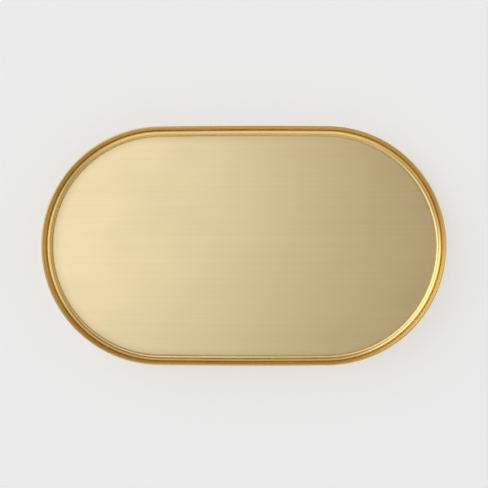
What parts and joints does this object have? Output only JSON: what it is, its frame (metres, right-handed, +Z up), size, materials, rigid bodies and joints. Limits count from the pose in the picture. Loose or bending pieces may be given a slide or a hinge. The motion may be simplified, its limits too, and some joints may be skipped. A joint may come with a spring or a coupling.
{
  "type": "serving tray",
  "caption": "Long round-ended brass tray: a brushed flat floor set in a polished pan with a small cove, a low upright wall and a thin rolled edge, standing on round pads",
  "frame": {"origin": "Under the tray's middle, on the surface that its pads stand on", "axes": "+X along the tray's length, +Y across its width, +Z up out of its open face"},
  "size_m": [0.44, 0.2604, 0.0235],
  "materials": {
    "polished_brass": "polished yellow brass with a light sheen",
    "brushed_brass": "satin brushed brass, straight grain along the tray's length",
    "adhesive_film": "thin double-sided adhesive film, hidden",
    "steel_wire": "drawn steel wire, hidden in the rolled edge",
    "pad_rubber": "soft matte black rubber"
  },
  "bodies": {
    "root": {"tray_pan": "polished_brass", "floor_plate": "brushed_brass", "bonding_film": "adhesive_film", "rim_wire": "steel_wire", "foot_pad_1": "pad_rubber", "foot_pad_2": "pad_rubber", "foot_pad_3": "pad_rubber", "foot_pad_4": "pad_rubber"}
  },
  "joints": []
}
